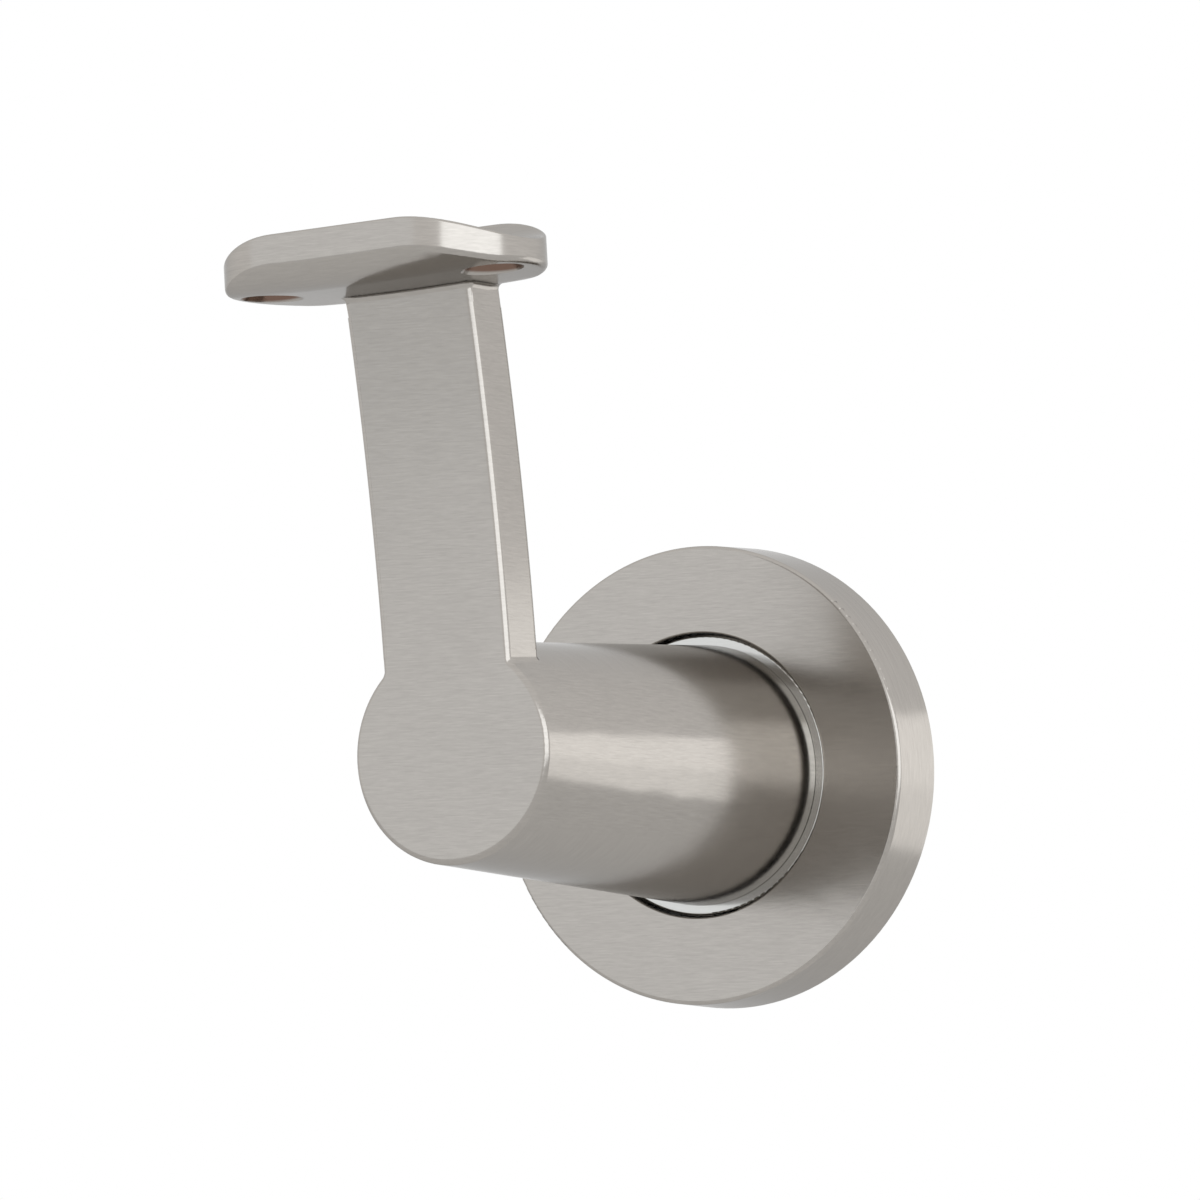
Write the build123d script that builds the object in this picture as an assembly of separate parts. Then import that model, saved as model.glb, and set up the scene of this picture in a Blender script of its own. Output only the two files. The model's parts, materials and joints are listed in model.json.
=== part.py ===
from build123d import *
import math
import os

# Handrail bracket for a round rail, millimetres.
# The wall is the plane Y = 0 and the bracket stands out towards -Y.
# The post's axis is the Y axis, the rail runs along X, and +Z is up.

# Post: the tapered round bar out of the hub
post_front_radius = 15.5
post_taper = 3.25
post_rear_round = 0.2

# Hub: the polished end of the wall plate that the post stands on
hub_margin = 1.35
hub_recess = 1.0
hub_edge_round = 0.3

# Wall plate: the steel flange round the hub, screwed to the wall
flange_width = 11.1
plate_thickness = 3.0
wall_hole_count = 3
wall_hole_radius = 2.7
wall_sink_radius = 4.7

# Cover rose: the drafted cap that hides the wall plate
hub_gap = 0.4
plate_gap = 0.5
rose_depth = 9.6
rose_wall = 1.3
rose_draft = 0.3
rose_edge_round = 0.6
rose_bore_round = 0.25
rose_collar_wall = 1.6
rose_collar_length = 3.2

# Snap ring: the split wire ring on the hub that grips the rose's bore
ring_wire_radius = 0.45
ring_depth = 1.2
ring_stand_out = 0.28
ring_groove_clearance = 0.06
ring_gap = 3.6
ring_turn = 6.0

# Saddle: the plate that the rail rests on
rail_offset = 89.8
rail_seat_radius = 25.0
seat_height = 68.0
saddle_thickness = 4.2
saddle_length = 47.4
saddle_width = 27.8
saddle_shift = 1.2
belly_shift = 3.5
belly_flat = 14.5
belly_radius = 15.5
belly_crown_radius = 400.0
saddle_top_round = 0.4
saddle_belly_round = 1.0
rail_hole_edge = 5.7
rail_hole_radius = 2.5
rail_sink_radius = 4.4

# Arm: the flat bowed bar that rises from the post's front end to the saddle
arm_width = 20.4
arm_thickness = 8.3
arm_bow_radius = 386.0
arm_inset = 0.4
arm_back_round = 0.8
front_edge_round = 0.9
neck_fillet = 1.6
saddle_fillet = 0.9

# Fastening of the post to the hub: one machine screw, a spring washer and two dowel pins
screw_radius = 4.0
screw_length = 18.0
screw_head_radius = 7.0
screw_head_height = 4.0
screw_socket_across = 5.0
screw_socket_depth = 2.5
screw_end_chamfer = 0.8
screw_bore_gap = 0.05
screw_hole_gap = 0.3
screw_tip_room = 3.0
washer_thickness = 1.6
washer_radius = 7.2
washer_hole_gap = 0.15
washer_slit = 1.0
head_pocket_gap = 0.4
pin_radius = 2.0
pin_wall = 1.9
pin_length = 11.0
pin_in_hub = 5.5
pin_gap = 0.04
pin_end_room = 0.3
pin_chamfer = 0.4

# Radii and places that follow from the sizes above
post_rear_radius = post_front_radius + post_taper
hub_radius = post_rear_radius + hub_margin
hub_front = -(rose_depth - hub_recess)
plate_radius = hub_radius + flange_width
wall_hole_circle = hub_radius + plate_radius
rose_bore_radius = hub_radius + hub_gap
rose_radius = plate_radius + plate_gap + rose_wall
rose_back_radius = rose_radius + rose_draft
ring_radius = hub_radius + ring_stand_out - ring_wire_radius

belly_height = seat_height - saddle_thickness
saddle_y = -rail_offset + saddle_shift
belly_y = -rail_offset + belly_shift
saddle_middle = (seat_height + belly_height) / 2
rail_hole_spacing = saddle_length - 2 * rail_hole_edge
arm_top_back = saddle_y + saddle_width / 2 - arm_inset
arm_back_radius = arm_bow_radius + arm_thickness
arm_bow_centre = arm_top_back - math.sqrt(arm_back_radius**2 - belly_height**2)
post_front = arm_bow_centre + arm_bow_radius

head_pocket_radius = max(screw_head_radius, washer_radius) + head_pocket_gap
washer_seat = -(screw_head_height + washer_thickness + head_pocket_gap)
screw_seat = washer_seat + washer_thickness
screw_tip = screw_seat - screw_length
pin_circle_radius = head_pocket_radius + pin_wall + pin_radius

# How near a point counts as lying on a surface when edges are picked
near = 0.01


def turned(outline):
    """A solid turned about the Y axis from (radius, y) points."""
    return revolve(make_face(Polyline(outline, close=True)), Axis.Y)


def along_x(radius, y, z, length):
    """A round bar along X through (y, z)."""
    return Pos(0, y, z) * Rot(0, 90, 0) * Cylinder(radius, length)


def along_y(radius, y_start, y_end, x=0.0, z=0.0):
    """A round bar along Y between two distances from the wall."""
    middle = (y_start + y_end) / 2
    return Pos(x, middle, z) * Rot(90, 0, 0) * Cylinder(radius, abs(y_end - y_start))


def pin_places():
    """The two dowel pins, left and right of the screw."""
    return [(-pin_circle_radius, 0.0), (pin_circle_radius, 0.0)]


def wall_hole_places():
    """The wall screw holes, evenly spaced, with one at the top."""
    step = 360 / wall_hole_count
    angles = [math.radians(90 + step * i) for i in range(wall_hole_count)]
    pitch_radius = wall_hole_circle / 2
    return [(pitch_radius * math.cos(a), pitch_radius * math.sin(a)) for a in angles]


def build_cover_rose():
    """Round cap, open at the wall, with a short collar inside its bore."""
    inner_front = rose_radius - rose_wall
    inner_back = rose_back_radius - rose_wall
    collar_radius = rose_bore_radius + rose_collar_wall
    front = -rose_depth
    rose = turned([
        (rose_bore_radius, front),
        (rose_radius, front),
        (rose_back_radius, 0),
        (inner_back, 0),
        (inner_front, front + rose_wall),
        (collar_radius, front + rose_wall),
        (collar_radius, front + rose_collar_length),
        (rose_bore_radius, front + rose_collar_length),
    ])
    front_rims = rose.edges().filter_by(GeomType.CIRCLE).group_by(Axis.Y)[0].sort_by(SortBy.RADIUS)
    rose = fillet(front_rims[-1], rose_edge_round)
    front_rims = rose.edges().filter_by(GeomType.CIRCLE).group_by(Axis.Y)[0].sort_by(SortBy.RADIUS)
    return fillet(front_rims[0], rose_bore_round)


def build_wall_plate():
    """Flange against the wall with a hub that carries the post."""
    plate = turned([
        (0, 0),
        (plate_radius, 0),
        (plate_radius, -plate_thickness),
        (hub_radius, -plate_thickness),
        (hub_radius, hub_front),
        (0, hub_front),
    ])
    hub_rim = plate.edges().filter_by(GeomType.CIRCLE).group_by(Axis.Y)[0].sort_by(SortBy.RADIUS)[-1]
    plate = fillet(hub_rim, hub_edge_round)

    groove_half = ring_wire_radius + ring_groove_clearance
    groove_y = hub_front + ring_depth
    groove_bottom = ring_radius - groove_half
    plate -= turned([
        (groove_bottom, groove_y - groove_half),
        (rose_radius, groove_y - groove_half),
        (rose_radius, groove_y + groove_half),
        (groove_bottom, groove_y + groove_half),
    ])

    plate -= along_y(screw_radius + screw_hole_gap, 0, hub_front)
    plate -= along_y(head_pocket_radius, 0, washer_seat)
    for x, z in pin_places():
        pin_bottom = hub_front + pin_in_hub + pin_end_room
        plate -= along_y(pin_radius + pin_gap, hub_front, pin_bottom, x, z)

    sink_depth = wall_sink_radius - wall_hole_radius
    for x, z in wall_hole_places():
        plate -= along_y(wall_hole_radius, 0, -plate_thickness, x, z)
        sink = Cone(wall_hole_radius, wall_sink_radius, sink_depth)
        plate -= Pos(x, -plate_thickness + sink_depth / 2, z) * Rot(90, 0, 0) * sink
    return plate


def build_snap_ring():
    """Round wire bent to a ring, split near the bottom, with rounded ends."""
    ring_y = hub_front + ring_depth
    half_gap = math.degrees((ring_gap / 2 + ring_wire_radius) / ring_radius)
    section = Pos(ring_radius, ring_y) * Circle(ring_wire_radius)
    wire = revolve(section, Axis.Y, 360 - 2 * half_gap)
    ring = Rot(0, 90 + half_gap - ring_turn, 0) * wire
    for side in (-1, 1):
        turn = math.radians(half_gap * side + ring_turn)
        x = ring_radius * math.sin(turn)
        z = -ring_radius * math.cos(turn)
        ring += Pos(x, ring_y, z) * Sphere(ring_wire_radius)
    return ring


def front_line(z):
    """The Y of the front face at a height z."""
    return arm_bow_centre + math.sqrt(arm_bow_radius**2 - z**2)


def build_post_and_arm():
    """Tapered post and bowed arm, cut to one continuous front face."""
    taper = (post_rear_radius - post_front_radius) / (hub_front - post_front)
    uncut_front = post_front - post_front_radius
    uncut_radius = post_front_radius - taper * post_front_radius
    post = turned([
        (0, hub_front),
        (post_rear_radius, hub_front),
        (uncut_radius, uncut_front),
        (0, uncut_front),
    ])
    rear_rim = post.edges().filter_by(GeomType.CIRCLE).group_by(Axis.Y)[-1]
    post = fillet(rear_rim, post_rear_round)

    reach = 4 * post_front_radius
    blank = Pos(0, post_front, saddle_middle / 2) * Box(arm_width, reach, saddle_middle)
    arm = blank & along_x(arm_back_radius, arm_bow_centre, 0, reach)
    back_face = arm.faces().filter_by(GeomType.CYLINDER)[0]
    upright = [e for e in back_face.edges() if abs((e @ 0.5).X) > arm_width / 4]
    arm = fillet(upright, arm_back_round)

    body = post + arm - along_x(arm_bow_radius, arm_bow_centre, 0, reach)

    def at_neck(edge):
        middle = edge @ 0.5
        cone_radius = post_front_radius + taper * (middle.Y - post_front)
        on_cone = abs(math.hypot(middle.X, middle.Z) - cone_radius) < near
        behind_front = middle.Y > front_line(middle.Z) + near
        beside_arm = middle.Z > 0 and middle.Y < post_front + 2 * arm_thickness
        return on_cone and behind_front and beside_arm
    body = fillet([e for e in body.edges() if at_neck(e)], neck_fillet)

    def on_front(edge):
        middle = edge @ 0.5
        return abs(middle.Y - front_line(middle.Z)) < near and middle.Z < saddle_middle - near
    return fillet([e for e in body.edges() if on_front(e)], front_edge_round)


def belly_at(x, y):
    """The height of the saddle's underside at a place in plan."""
    beyond_flat = max(abs(y - belly_y) - belly_flat / 2, 0)
    across = belly_radius - math.sqrt(belly_radius**2 - beyond_flat**2)
    along = belly_crown_radius - math.sqrt(belly_crown_radius**2 - x**2)
    return belly_height + across + along


def build_saddle():
    """Round-ended plate with a hollow seat on top and a belly that turns up to its long sides."""
    outline = Pos(0, saddle_y, belly_height - saddle_thickness) * SlotOverall(saddle_length, saddle_width)
    block = extrude(outline, rail_seat_radius)

    crown_axis = Axis((0, 0, belly_height + belly_crown_radius), (0, 1, 0))
    half_turn = math.degrees(saddle_length / belly_crown_radius)
    section = SlotCenterToCenter(belly_flat, 2 * belly_radius)
    section = Plane.YZ * Pos(belly_y, belly_height + belly_radius) * section
    belly = revolve(section, crown_axis, 2 * half_turn).rotate(crown_axis, -half_turn)
    saddle = block & belly
    seat_z = seat_height + rail_seat_radius
    saddle -= along_x(rail_seat_radius, -rail_offset, seat_z, 2 * saddle_length)

    seat = saddle.faces().filter_by(GeomType.CYLINDER).sort_by(SortBy.AREA)[-1]
    saddle = fillet(seat.edges(), saddle_top_round)

    def at_belly_rim(edge):
        middle = edge @ 0.5
        beyond_straight = max(abs(middle.X) - (saddle_length - saddle_width) / 2, 0)
        on_side = abs(math.hypot(beyond_straight, middle.Y - saddle_y) - saddle_width / 2) < near
        return on_side and abs(middle.Z - belly_at(middle.X, middle.Y)) < near
    return fillet([e for e in saddle.edges() if at_belly_rim(e)], saddle_belly_round)


def cut_rail_holes(body):
    """Two countersunk holes for the screws that go up into the rail."""
    x = rail_hole_spacing / 2
    overrun = 1.5
    mouth = belly_at(x, -rail_offset)
    sink_top = mouth + rail_sink_radius - rail_hole_radius
    above = seat_height + saddle_thickness
    outline = Plane.XZ * Polyline([
        (0, mouth - overrun),
        (rail_sink_radius + overrun, mouth - overrun),
        (rail_hole_radius, sink_top),
        (rail_hole_radius, above),
        (0, above),
    ], close=True)
    bore = revolve(make_face(outline), Axis.Z)
    for side in (-1, 1):
        body -= Pos(side * x, -rail_offset, 0) * bore
    return body


def build_bracket_body():
    """Post, arm and saddle in one piece."""
    lower = build_post_and_arm()
    saddle = build_saddle()
    body = lower + saddle
    body = fillet(new_edges(lower, saddle, combined=body), saddle_fillet)
    body = cut_rail_holes(body)

    body -= along_y(screw_radius + screw_bore_gap, hub_front, screw_tip - screw_tip_room)
    for x, z in pin_places():
        pin_front = hub_front + pin_in_hub - pin_length
        body -= along_y(pin_radius + pin_gap, hub_front, pin_front - pin_end_room, x, z)
    return body


def build_mounting_screw():
    """Machine screw from behind the wall plate into the post."""
    head_top = screw_seat + screw_head_height
    screw = turned([
        (0, head_top),
        (screw_head_radius, head_top),
        (screw_head_radius, screw_seat),
        (screw_radius, screw_seat),
        (screw_radius, screw_tip + screw_end_chamfer),
        (screw_radius - screw_end_chamfer, screw_tip),
        (0, screw_tip),
    ])
    head_rim = screw.edges().filter_by(GeomType.CIRCLE).group_by(Axis.Y)[-1]
    screw = fillet(head_rim, screw_end_chamfer)
    socket = RegularPolygon(screw_socket_across / 2, 6, major_radius=False)
    return screw - extrude(Plane.XZ.offset(-head_top) * socket, screw_socket_depth)


def build_lock_washer():
    """Split spring washer under the screw's head."""
    hole = screw_radius + washer_hole_gap
    washer = turned([
        (hole, washer_seat),
        (washer_radius, washer_seat),
        (washer_radius, washer_seat + washer_thickness),
        (hole, washer_seat + washer_thickness),
    ])
    slit = Pos(0, washer_seat, washer_radius) * Box(washer_slit, 4 * washer_thickness, 2 * washer_radius)
    return washer - slit


def build_dowel_pins():
    """Two pins that keep the post from turning on the hub."""
    rear = hub_front + pin_in_hub
    front = rear - pin_length
    pin = turned([
        (0, rear),
        (pin_radius - pin_chamfer, rear),
        (pin_radius, rear - pin_chamfer),
        (pin_radius, front + pin_chamfer),
        (pin_radius - pin_chamfer, front),
        (0, front),
    ])
    return Compound([Pos(x, 0, z) * pin for x, z in pin_places()])


nodes = {
    "bracket_body": build_bracket_body(),
    "cover_rose": build_cover_rose(),
    "wall_plate": build_wall_plate(),
    "snap_ring": build_snap_ring(),
    "mounting_screw": build_mounting_screw(),
    "lock_washer": build_lock_washer(),
    "dowel_pins": build_dowel_pins(),
}

os.makedirs("parts", exist_ok=True)
for name, shape in nodes.items():
    export_step(shape, f"parts/{name}.step")
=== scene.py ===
import json
import math

import bpy
import bmesh
from mathutils import Matrix, Vector


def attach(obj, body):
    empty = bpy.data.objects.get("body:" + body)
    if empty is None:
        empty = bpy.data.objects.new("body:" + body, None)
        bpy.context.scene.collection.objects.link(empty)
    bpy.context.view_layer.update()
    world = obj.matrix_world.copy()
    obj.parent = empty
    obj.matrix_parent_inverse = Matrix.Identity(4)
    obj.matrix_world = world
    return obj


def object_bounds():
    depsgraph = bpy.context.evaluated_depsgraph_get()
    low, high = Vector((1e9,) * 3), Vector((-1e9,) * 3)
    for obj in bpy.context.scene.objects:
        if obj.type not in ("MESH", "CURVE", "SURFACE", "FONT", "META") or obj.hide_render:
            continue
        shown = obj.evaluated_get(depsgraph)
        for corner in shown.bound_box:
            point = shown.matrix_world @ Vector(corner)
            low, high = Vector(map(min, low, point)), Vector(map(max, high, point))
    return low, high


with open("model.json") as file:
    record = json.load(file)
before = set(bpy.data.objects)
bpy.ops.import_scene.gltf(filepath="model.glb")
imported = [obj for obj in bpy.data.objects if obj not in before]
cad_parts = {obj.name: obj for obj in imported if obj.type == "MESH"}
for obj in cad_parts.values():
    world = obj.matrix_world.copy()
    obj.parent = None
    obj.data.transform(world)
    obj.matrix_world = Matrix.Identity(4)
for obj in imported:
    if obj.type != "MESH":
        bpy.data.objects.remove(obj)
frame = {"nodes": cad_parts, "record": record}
cad_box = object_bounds()


# Bracket body: post, arm and saddle are one brass casting, linished all over and
# plated in satin nickel. The belt left fine level lines on every face. The walls of
# the two screw holes are painted a dark brass brown as painted shade in the recess.

line_width = 0.00019
line_length = 0.0036
line_seed = 3.7
fine_line_width = 0.00011
fine_line_length = 0.0022
fine_line_seed = 11.3
fine_line_relief = 0.4
line_detail = 2.0
line_roughness = 0.6
row_step = 7.31
belt_slope = 0.06
patch_scale = 70.0
patch_detail = 2.0
noise_low = 0.3
noise_high = 0.7
front_from = 0.7
front_full = 0.85
level_from = 0.6
level_full = 0.8


def maths(tree, operation, first, second=None, third=None):
    """One Math node; each input is a socket or a number."""
    node = tree.nodes.new("ShaderNodeMath")
    node.operation = operation
    for index, item in enumerate((first, second, third)):
        if item is None:
            continue
        if isinstance(item, (int, float)):
            node.inputs[index].default_value = item
        else:
            tree.links.new(item, node.inputs[index])
    return node.outputs[0]


def ramp(tree, value, from_low, from_high, to_low=0.0, to_high=1.0):
    """A Map Range node that stops at its ends."""
    node = tree.nodes.new("ShaderNodeMapRange")
    node.inputs["From Min"].default_value = from_low
    node.inputs["From Max"].default_value = from_high
    node.inputs["To Min"].default_value = to_low
    node.inputs["To Max"].default_value = to_high
    tree.links.new(value, node.inputs["Value"])
    return node.outputs[0]


def blend_values(tree, factor, first, second):
    """A Mix node for two plain values."""
    node = tree.nodes.new("ShaderNodeMix")
    node.data_type = "FLOAT"
    tree.links.new(factor, node.inputs["Factor"])
    tree.links.new(first, node.inputs["A"])
    tree.links.new(second, node.inputs["B"])
    return node.outputs["Result"]


def streaks(tree, along, across, width, length, seed):
    """Straight lines of one width: noise along each row, and every row starts elsewhere."""
    row = maths(tree, "FLOOR", maths(tree, "DIVIDE", across, width))
    spot = tree.nodes.new("ShaderNodeCombineXYZ")
    tree.links.new(maths(tree, "DIVIDE", along, length), spot.inputs[0])
    tree.links.new(maths(tree, "MULTIPLY_ADD", row, row_step, seed), spot.inputs[1])
    node = tree.nodes.new("ShaderNodeTexNoise")
    node.inputs["Scale"].default_value = 1.0
    node.inputs["Detail"].default_value = line_detail
    node.inputs["Roughness"].default_value = line_roughness
    tree.links.new(spot.outputs[0], node.inputs["Vector"])
    return node.outputs["Fac"]


def brush_group():
    """Brush lines for any face: level on upright faces, and along X or Y on level ones."""
    tree = bpy.data.node_groups.new("brush lines", "ShaderNodeTree")
    face = tree.interface
    round_rim = face.new_socket("Round Rim", in_out="INPUT", socket_type="NodeSocketFloat")
    round_rim.default_value = 0.0
    for name in ("Lines", "Fine Lines", "Patches"):
        face.new_socket(name, in_out="OUTPUT", socket_type="NodeSocketFloat")
    entry = tree.nodes.new("NodeGroupInput")
    leave = tree.nodes.new("NodeGroupOutput")

    coords = tree.nodes.new("ShaderNodeTexCoord")
    place = tree.nodes.new("ShaderNodeSeparateXYZ")
    tree.links.new(coords.outputs["Object"], place.inputs[0])
    facing = tree.nodes.new("ShaderNodeSeparateXYZ")
    tree.links.new(coords.outputs["Normal"], facing.inputs[0])

    front = ramp(tree, maths(tree, "ABSOLUTE", facing.outputs[1]), front_from, front_full)
    level = ramp(tree, maths(tree, "ABSOLUTE", facing.outputs[2]), level_from, level_full)

    x, y, z = place.outputs
    sizes = (
        ("Lines", line_width, line_length, line_seed),
        ("Fine Lines", fine_line_width, fine_line_length, fine_line_seed),
    )
    for name, width, length, seed in sizes:
        sloping = maths(tree, "MULTIPLY_ADD", x, belt_slope, z)
        upright = streaks(tree, maths(tree, "ADD", x, y), sloping, width, length, seed)
        along_x = streaks(tree, x, y, width, length, seed)
        along_y = streaks(tree, maths(tree, "ADD", x, z), y, width, length, seed)
        cast = blend_values(tree, level, upright, along_x)
        turned = blend_values(tree, front, along_y, upright)
        chosen = blend_values(tree, entry.outputs["Round Rim"], cast, turned)
        tree.links.new(chosen, leave.inputs[name])

    patches = tree.nodes.new("ShaderNodeTexNoise")
    patches.inputs["Scale"].default_value = patch_scale
    patches.inputs["Detail"].default_value = patch_detail
    tree.links.new(coords.outputs["Object"], patches.inputs["Vector"])
    tree.links.new(patches.outputs["Fac"], leave.inputs["Patches"])
    return tree


brush_lines = brush_group()
grazing_tint = (0.66, 0.66, 0.66, 1)
gloss_spread = 0.15


def brushed_metal(name, colour, roughness, contrast, relief_depth, round_rim=0.0):
    """Plated or bare brushed metal: lines in tone and relief, patches in gloss."""
    material = bpy.data.materials.new(name)
    material.use_nodes = True
    tree = material.node_tree
    shader = tree.nodes["Principled BSDF"]
    shader.inputs["Metallic"].default_value = 1.0
    shader.inputs["Specular Tint"].default_value = grazing_tint
    lines = tree.nodes.new("ShaderNodeGroup")
    lines.name = "brush"
    lines.node_tree = brush_lines
    lines.inputs["Round Rim"].default_value = round_rim

    bold_lines = lines.outputs["Lines"]
    fine_lines = lines.outputs["Fine Lines"]
    fine_contrast = contrast / 2
    broad = ramp(tree, bold_lines, noise_low, noise_high, 1 - contrast, 1 + contrast)
    fine = ramp(tree, fine_lines, noise_low, noise_high, 1 - fine_contrast, 1 + fine_contrast)
    tint = tree.nodes.new("ShaderNodeVectorMath")
    tint.name = "tint"
    tint.operation = "SCALE"
    tint.inputs[0].default_value = colour
    tree.links.new(maths(tree, "MULTIPLY", broad, fine), tint.inputs["Scale"])
    tree.links.new(tint.outputs[0], shader.inputs["Base Color"])

    dullest = roughness * (1 + gloss_spread)
    glossiest = roughness * (1 - gloss_spread)
    gloss = ramp(tree, lines.outputs["Patches"], noise_low, noise_high, dullest, glossiest)
    tree.links.new(gloss, shader.inputs["Roughness"])

    relief = tree.nodes.new("ShaderNodeBump")
    relief.inputs["Distance"].default_value = relief_depth
    relief.inputs["Strength"].default_value = 1.0
    fine_relief = maths(tree, "MULTIPLY", fine_lines, fine_line_relief)
    both = maths(tree, "ADD", bold_lines, fine_relief)
    tree.links.new(both, relief.inputs["Height"])
    tree.links.new(relief.outputs[0], shader.inputs["Normal"])
    return material


sharp_angle = 32
join_distance = 0.000002


def edge_marks():
    """Geometry nodes that join the CAD faces and mark only real corners as sharp."""
    tree = bpy.data.node_groups.new("edge marks", "GeometryNodeTree")
    tree.interface.new_socket("Mesh", in_out="INPUT", socket_type="NodeSocketGeometry")
    tree.interface.new_socket("Mesh", in_out="OUTPUT", socket_type="NodeSocketGeometry")
    entry = tree.nodes.new("NodeGroupInput")
    leave = tree.nodes.new("NodeGroupOutput")
    join = tree.nodes.new("GeometryNodeMergeByDistance")
    join.inputs["Distance"].default_value = join_distance
    smooth = tree.nodes.new("GeometryNodeSetShadeSmooth")
    smooth.domain = "FACE"
    corner = tree.nodes.new("GeometryNodeInputMeshEdgeAngle")
    wide = tree.nodes.new("FunctionNodeCompare")
    wide.operation = "GREATER_THAN"
    wide.inputs["B"].default_value = math.radians(sharp_angle)
    tree.links.new(corner.outputs["Unsigned Angle"], wide.inputs["A"])
    sharp = tree.nodes.new("GeometryNodeSetShadeSmooth")
    sharp.domain = "EDGE"
    sharp.inputs["Shade Smooth"].default_value = False
    tree.links.new(wide.outputs["Result"], sharp.inputs["Selection"])
    tree.links.new(entry.outputs["Mesh"], join.inputs["Geometry"])
    tree.links.new(join.outputs["Geometry"], smooth.inputs["Geometry"])
    tree.links.new(smooth.outputs["Geometry"], sharp.inputs["Geometry"])
    tree.links.new(sharp.outputs["Geometry"], leave.inputs["Mesh"])
    return tree


edge_marking = edge_marks()


def dress(node, material):
    """One finish for a whole CAD node, shaded by its large faces so its roundings stay even."""
    piece = frame["nodes"][node]
    for index in range(len(piece.material_slots)):
        piece.material_slots[index].material = material
    marks = piece.modifiers.new("edge marks", "NODES")
    marks.node_group = edge_marking
    shading = piece.modifiers.new("even shading", "WEIGHTED_NORMAL")
    shading.mode = "FACE_AREA"
    shading.keep_sharp = True


nickel_colour = (0.425, 0.4, 0.37)
nickel_roughness = 0.19
nickel_contrast = 0.055
brush_depth = 0.0000002
# Painted shade: a dark brass brown for the walls of the two screw holes.
hole_shade_brown = (0.2, 0.13, 0.1)
sink_radius = 0.0043
hole_shade_fade = 0.0003
top_from = 0.3
top_full = 0.5

body_nickel = brushed_metal("body nickel", nickel_colour, nickel_roughness, nickel_contrast, brush_depth)
mounts = {mount["name"]: mount for mount in frame["record"]["mounts"]}
rail_screws = mounts["rail_screws"]
hole_y = rail_screws["pos_m"][1]
hole_x = rail_screws["dims"]["spacing_x_mm"] / 2 / 1000

tree = body_nickel.node_tree
coords = tree.nodes.new("ShaderNodeTexCoord")
place = tree.nodes.new("ShaderNodeSeparateXYZ")
tree.links.new(coords.outputs["Object"], place.inputs[0])
from_hole_x = maths(tree, "SUBTRACT", maths(tree, "ABSOLUTE", place.outputs[0]), hole_x)
from_hole_y = maths(tree, "SUBTRACT", place.outputs[1], hole_y)
squares = maths(tree, "ADD", maths(tree, "POWER", from_hole_x, 2.0), maths(tree, "POWER", from_hole_y, 2.0))
from_hole = maths(tree, "SQRT", squares)
facing = tree.nodes.new("ShaderNodeSeparateXYZ")
tree.links.new(coords.outputs["Normal"], facing.inputs[0])
not_on_top = ramp(tree, facing.outputs[2], top_from, top_full, 1.0, 0.0)
near_hole = ramp(tree, from_hole, sink_radius - hole_shade_fade, sink_radius, 1.0, 0.0)
in_hole = maths(tree, "MULTIPLY", near_hole, not_on_top)
# Painted shade in the screw holes: below the top face, their walls take the dark brown in place of the
# nickel tone.
painted_hole_shade = tree.nodes.new("ShaderNodeMix")
painted_hole_shade.data_type = "RGBA"
painted_hole_shade.inputs["B"].default_value = (*hole_shade_brown, 1)
tree.links.new(in_hole, painted_hole_shade.inputs["Factor"])
tree.links.new(tree.nodes["tint"].outputs[0], painted_hole_shade.inputs["A"])
tree.links.new(painted_hole_shade.outputs["Result"], tree.nodes["Principled BSDF"].inputs["Base Color"])
dress("bracket_body", body_nickel)


# Arm edges: the arm's four long roundings, a slim quarter-round bead along each bowed
# edge. They are part of the casting and stand a hair proud of its coarser facets.

arm_half_width = 0.0102
bow_radius = 0.386
front_face_at_post = -0.07820
arm_depth = 0.0083
front_rounding = 0.0009
back_rounding = 0.0008
bead_cover = 0.00003
bead_low = 0.0138
bead_high = 0.0612
bead_steps = 48
bead_arc_steps = 10
quarter_turn = math.radians(90)
bead_tip = 0.00001
ring_size = bead_arc_steps + 2
bead_length = bead_high - bead_low - 2 * bead_tip
bead_run = [bead_low + bead_tip + bead_length * step / bead_steps for step in range(bead_steps + 1)]
bead_heights = [bead_low] + bead_run + [bead_high]
last_ring = (len(bead_heights) - 1) * ring_size


def bead_points(side, bow, rounding, outward):
    """Rings of points up one edge: the arm's inner corner, then a quarter circle round it."""
    bow_axis = front_face_at_post - bow_radius
    corner = bow - outward * rounding
    reach = rounding + bead_cover
    ring = [(0, 0)]
    for part in range(bead_arc_steps + 1):
        turn = quarter_turn * part / bead_arc_steps
        ring.append((reach * math.sin(turn), reach * math.cos(turn)))
    points = []
    for height in bead_heights:
        lean = math.asin(height / bow)
        for across, out in ring:
            far = corner + outward * out
            x = side * (arm_half_width - rounding + across)
            points.append((x, bow_axis + far * math.cos(lean), far * math.sin(lean)))
    return points


def bead_faces():
    """The sides of one bead, then its two ends."""
    faces = []
    for low in range(0, last_ring, ring_size):
        for part in range(ring_size):
            after = (part + 1) % ring_size
            faces.append((low + part, low + after, low + ring_size + after, low + ring_size + part))
    faces.append(tuple(range(ring_size)))
    faces.append(tuple(range(last_ring, last_ring + ring_size)))
    return faces


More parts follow.
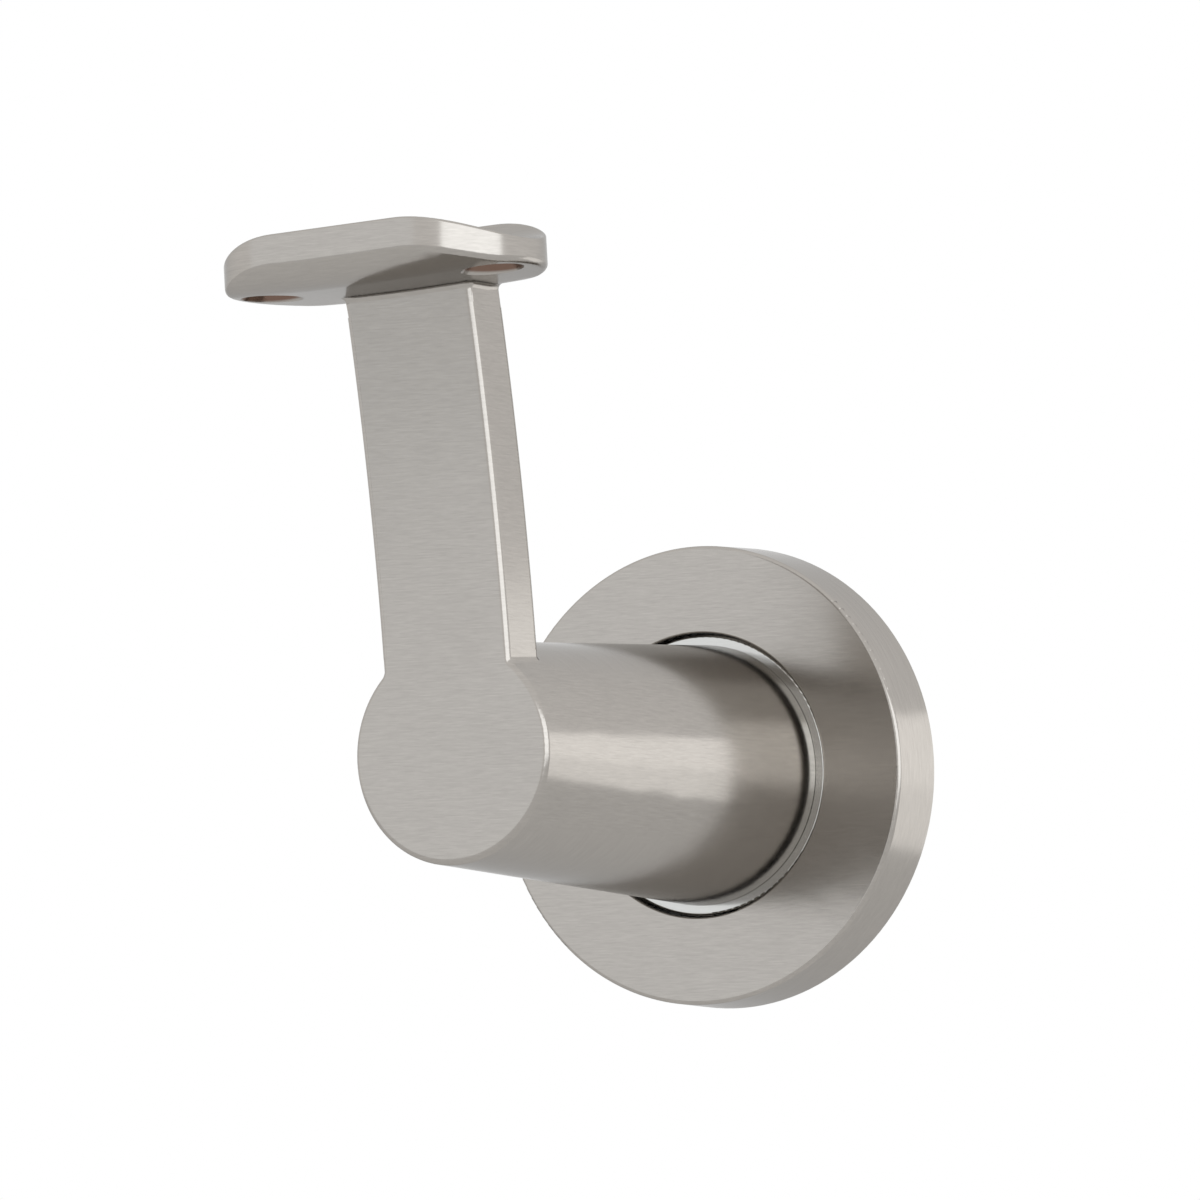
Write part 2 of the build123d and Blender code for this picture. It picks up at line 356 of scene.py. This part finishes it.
arm_bows = (
    (bow_radius, front_rounding, -1),
    (bow_radius + arm_depth, back_rounding, 1),
)
beads = bmesh.new()
for side in (-1, 1):
    for bow, rounding, outward in arm_bows:
        corners = [beads.verts.new(point) for point in bead_points(side, bow, rounding, outward)]
        for index, face in enumerate(bead_faces()):
            made = beads.faces.new([corners[corner] for corner in face])
            on_side = index < last_ring
            made.smooth = on_side and 0 < index % ring_size < ring_size - 1
for edge in beads.edges:
    edge.smooth = all(face.smooth for face in edge.link_faces)
bmesh.ops.recalc_face_normals(beads, faces=beads.faces)
edge_mesh = bpy.data.meshes.new("arm_edges")
beads.to_mesh(edge_mesh)
beads.free()
edge_mesh.materials.append(body_nickel)
arm_edges = bpy.data.objects.new("arm_edges", edge_mesh)
bpy.context.scene.collection.objects.link(arm_edges)
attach(arm_edges, "bracket")


# Cover rose: a pressed cap with the same plate. Its face is brushed straight across
# and its rim was brushed as it turned, so the rim's lines run round.

turned_rim = 1.0

rose_nickel = brushed_metal(
    "rose nickel", nickel_colour, nickel_roughness, nickel_contrast, brush_depth, turned_rim
)
dress("cover_rose", rose_nickel)


# Wall plate: a flange and hub turned from one piece of steel and polished. With the
# rose against the wall only the hub shows, as a bright ring round the post.

hub_colour = (0.6, 0.595, 0.575)
hub_roughness = 0.12
hub_contrast = 0.02

hub_steel = brushed_metal(
    "polished hub steel", hub_colour, hub_roughness, hub_contrast, brush_depth, turned_rim
)
dress("wall_plate", hub_steel)


# Snap ring and lock washer: drawn spring steel wire. The ring is bent round the hub
# and grips the rose's bore, and the split washer sits under the screw's head.

spring_colour = (0.62, 0.61, 0.6)
spring_roughness = 0.15
spring_contrast = 0.03
draw_depth = 0.0000005

spring_steel = brushed_metal(
    "drawn spring steel", spring_colour, spring_roughness, spring_contrast, draw_depth, turned_rim
)
dress("snap_ring", spring_steel)
dress("lock_washer", spring_steel)


# Mounting screw and dowel pins: zinc plated steel. The screw draws the post against
# the hub from behind the wall plate, and the pins keep the post from turning.

screw_colour = (0.5, 0.5, 0.52)
screw_roughness = 0.3
screw_contrast = 0.03
zinc_depth = 0.000001

screw_steel = brushed_metal(
    "plated screw steel", screw_colour, screw_roughness, screw_contrast, zinc_depth, turned_rim
)
dress("mounting_screw", screw_steel)
dress("dowel_pins", screw_steel)


# Studio: a pale paper floor below the bracket, plain white all round, and three soft
# boxes that light the metal alone: a large faint one in front on the left, one on the
# right, and a small one close behind the bracket on the right.

floor_drop = 0.16
floor_size = 6.0
paper_grey = 0.8
white = (1, 1, 1, 1)


def panel(name, width, height, grey):
    """A flat level sheet of pale paper."""
    mesh = bpy.data.meshes.new(name)
    x = width / 2
    y = height / 2
    mesh.from_pydata([(-x, -y, 0), (x, -y, 0), (x, y, 0), (-x, y, 0)], [], [(0, 1, 2, 3)])
    piece = bpy.data.objects.new(name, mesh)
    bpy.context.scene.collection.objects.link(piece)
    paper = bpy.data.materials.new(name + " paper")
    paper.use_nodes = True
    shader = paper.node_tree.nodes["Principled BSDF"]
    shader.inputs["Base Color"].default_value = (grey, grey, grey, 1)
    shader.inputs["Roughness"].default_value = 1.0
    shader.inputs["Specular IOR Level"].default_value = 0.0
    mesh.materials.append(paper)
    return piece


def turn_to(piece, place, aim):
    """Put a lamp at a place, facing a point."""
    piece.location = place
    piece.rotation_euler = (Vector(aim) - Vector(place)).to_track_quat("-Z", "Y").to_euler()


def soft_box(name, place, aim, width, height, glow, colour=(1, 1, 1)):
    """A rectangular lamp for the metal alone; glow is how bright it looks from the front."""
    light = bpy.data.lights.new(name, "AREA")
    light.shape = "RECTANGLE"
    light.size = width
    light.size_y = height
    light.energy = glow * math.pi * width * height
    light.color = colour
    lamp = bpy.data.objects.new(name, light)
    turn_to(lamp, place, aim)
    lamp.visible_camera = False
    lamp.visible_diffuse = False
    bpy.context.scene.collection.objects.link(lamp)


floor = panel("floor", floor_size, floor_size, paper_grey)
floor.location.z = cad_box[0][2] - floor_drop

world = bpy.data.worlds.new("studio")
bpy.context.scene.world = world
world.use_nodes = True
backdrop = world.node_tree.nodes["Background"]
backdrop.inputs["Color"].default_value = white
backdrop.inputs["Strength"].default_value = 1.0

middle = Vector((0, -0.05, 0.02))
studio_reach = 1.25


def around(azimuth, rise):
    """A place round the bracket: azimuth 0 is straight in front, 90 is its right."""
    a = math.radians(azimuth)
    r = math.radians(rise)
    toward = Vector((math.sin(a) * math.cos(r), -math.cos(a) * math.cos(r), math.sin(r)))
    return middle + studio_reach * toward


left_azimuth = -32
left_rise = 10
left_width = 1.3
left_height = 1.5
left_glow = 0.1
left_colour = (0.8, 1, 1.2)
left_place = around(left_azimuth, left_rise)
soft_box("left front box", left_place, middle, left_width, left_height, left_glow, left_colour)

right_azimuth = 61
right_rise = 8
right_width = 1.7
right_height = 0.8
right_glow = 1.1
right_colour = (0.95, 1, 1.05)
right_place = around(right_azimuth, right_rise)
soft_box("right front box", right_place, middle, right_width, right_height, right_glow, right_colour)

near_aim = Vector((0.013, -0.06, 0.0))
near_reach = 0.2
near_direction = Vector((0.5, 0.86, -0.04))
near_width = 0.16
near_height = 0.105
near_glow = 0.6
near_place = near_aim + near_reach * near_direction
soft_box("near box", near_place, near_aim, near_width, near_height, near_glow)


# Camera: a long lens, low and to the right, tipped a little, as the bracket was
# photographed. Its place and its three angles were fitted to the photo's outlines.

camera_place = (0.70897, -1.25409, -0.11970)
turn = math.radians(30.18)
rise = math.radians(-5.81)
roll = math.radians(-3.18)
film_width = 36.0
lens_length = 300.0
nearest = 0.01

back = Vector((math.sin(turn) * math.cos(rise), -math.cos(turn) * math.cos(rise), math.sin(rise)))
level = Vector((math.cos(turn), math.sin(turn), 0))
upright = back.cross(level)
right = level * math.cos(roll) + upright * math.sin(roll)
up = upright * math.cos(roll) - level * math.sin(roll)
camera_data = bpy.data.cameras.new("camera")
camera_data.sensor_width = film_width
camera_data.lens = lens_length
camera_data.clip_start = nearest
camera = bpy.data.objects.new("camera", camera_data)
turned = Matrix((right, up, back)).transposed().to_4x4()
camera.matrix_world = Matrix.Translation(camera_place) @ turned
bpy.context.scene.collection.objects.link(camera)
bpy.context.scene.camera = camera
bpy.context.scene.view_settings.view_transform = "Standard"
